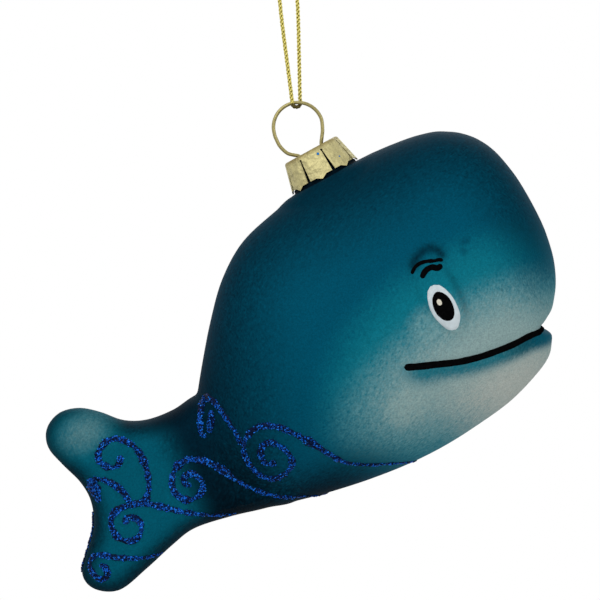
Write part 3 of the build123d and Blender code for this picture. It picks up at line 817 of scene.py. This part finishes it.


# Metal thread shines softly on the near strands. The strands that cross and the core are given darker
# colours, painted shade. The twist of the thread is drawn coarser than the real one so that it shows.
thread_core, _, _ = surface(
    "shaded_thread_core", "#3d3518", 0.8, specular=0.02, grain=0.4, spread=0.3, dent=0.05
)
gold_thread, _, _ = surface(
    "gold_braided_thread", "#e6d972", 0.45, metallic=0.25, grain=0.3125, spread=0.16, dent=0.05
)
shaded_thread, _, _ = surface(
    "shaded_gold_thread", "#c2b458", 0.5, metallic=0.25, grain=0.3125, spread=0.2, dent=0.05
)
braid_pitch = 3.0
fine_path = smooth_path(cord_path, 620)
cord_points, cord_faces = braid(fine_path, cord_diameter / 2, braid_pitch, ways=(1,))
cord = place("gold_cord", np.array(cord_points) * 0.001, cord_faces, "cord", gold_thread)
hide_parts("cord_loop")
cross_points, cross_faces = braid(fine_path, cord_diameter / 2, braid_pitch, ways=(-1,))
cross = place("gold_cord_cross_strands", np.array(cross_points) * 0.001, cross_faces, "cord", shaded_thread)
core_points, core_faces = tube(fine_path, cord_diameter * 0.3)
core = place("gold_cord_core", np.array(core_points) * 0.001, core_faces, "cord", thread_core)
turn_shade_thread, _, _ = surface(
    "painted_shade_turn_thread", "#665c34", 0.7, specular=0.05, grain=0.4, spread=0.3, dent=0.05
)
# Painted shade: the faces of the turn under the ring's wire get the darker thread.
for piece in (cord, cross):
    piece.data.materials.append(turn_shade_thread)
    for face in piece.data.polygons:
        face.material_index = 1 if face.center.z < (turn_top - 0.1) * 0.001 else 0

# The knot over the loop is an overhand knot in the doubled cord, of the same gold thread. It is pulled
# tight and leaves two cut tails.
knot_middle = cord_top + 2.1
knot_turn = []
for t in np.linspace(0, 2 * math.pi, 25)[:-1]:
    knot_turn.append((
        0.42 * (math.sin(t) + 2 * math.sin(2 * t)),
        0.42 * (math.cos(t) - 2 * math.cos(2 * t)),
        knot_middle - 1.15 * math.sin(3 * t),
    ))
knot_points, knot_faces = tube(smooth_path(knot_turn + knot_turn[:1], 150), 0.52)
for side in (-1, 1):
    tail_bends = (
        (0.4 * side, 0, knot_middle), (0.9 * side, 0.1 * side, knot_middle + 3),
        (2.3 * side, 0, knot_middle + 6.7),
    )
    tail = smooth_path(tail_bends, 40)
    points, faces = braid(tail, cord_diameter / 2, braid_pitch)
    offset = len(knot_points)
    knot_points.extend(points)
    knot_faces.extend(tuple(i + offset for i in face) for face in faces)
knot = place("overhand_knot", np.array(knot_points) * 0.001, knot_faces, "cord", gold_thread)
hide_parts("cord_knot")

# The stage: a pale painted floor under the hanging whale, white all round, and three soft lamps from
# above. The camera looks from a little above the right side of the whale and is turned a few degrees.
floor_mesh = bpy.data.meshes.new("pale_floor")
floor_level = -0.24
floor_corners = [(x, y, floor_level) for x, y in ((-0.4, -0.6), (0.4, -0.6), (0.4, 0.3), (-0.4, 0.3))]
floor_mesh.from_pydata(floor_corners, [], [(0, 1, 2, 3)])
floor = bpy.data.objects.new("pale_floor", floor_mesh)
scene.collection.objects.link(floor)
floor_paint, _, _ = surface("pale_floor_paint", "#e6e6e6", 0.9, specular=0.1)
floor.data.materials.append(floor_paint)

world = bpy.data.worlds.new("studio")
scene.world = world
world.use_nodes = True
tree = world.node_tree
back = tree.nodes["Background"]
back.inputs["Color"].default_value = (1, 1, 1, 1)
rays = add_node(tree, "ShaderNodeLightPath")
seen_ray = rays.outputs["Is Camera Ray"]
for ray in ("Is Glossy Ray", "Is Transmission Ray"):
    either = add_node(tree, "ShaderNodeMath", operation="MAXIMUM", i0=seen_ray, i1=rays.outputs[ray])
    seen_ray = either.outputs[0]
level = add_node(tree, "ShaderNodeMapRange", Value=seen_ray, To_Min=0.34, To_Max=1.0)
tree.links.new(level.outputs["Result"], back.inputs["Strength"])

target = Vector(view_target * 0.001)
for name, offset, width, power in (
    ("key_softbox", (-0.35, -0.65, 0.55), 0.8, 4.9),
    ("fill_softbox", (0.7, -0.6, 0.15), 0.6, 2.5),
    ("back_softbox", (0.1, 0.7, 0.5), 0.6, 2.1),
):
    lamp = bpy.data.lights.new(name, "AREA")
    lamp.size = width
    lamp.energy = power
    lamp_obj = bpy.data.objects.new(name, lamp)
    scene.collection.objects.link(lamp_obj)
    lamp_obj.location = target + Vector(offset)
    lamp_obj.rotation_euler = (-Vector(offset)).to_track_quat("-Z", "Y").to_euler()

forward = Vector((0, math.cos(view_rise), -math.sin(view_rise)))
level_right = Vector((1, 0, 0))
level_up = level_right.cross(forward)
right = math.cos(view_roll) * level_right - math.sin(view_roll) * level_up
up = math.cos(view_roll) * level_up + math.sin(view_roll) * level_right
camera_data = bpy.data.cameras.new("camera")
camera_data.sensor_width = 36
view_width = 150
camera_data.lens = camera_data.sensor_width * view_distance / view_width
camera_data.clip_start = 0.01
camera = bpy.data.objects.new("camera", camera_data)
scene.collection.objects.link(camera)
camera_turn = Matrix((right, up, -forward)).transposed().to_4x4()
camera.matrix_world = Matrix.Translation(target - forward * view_distance * 0.001) @ camera_turn
scene.camera = camera
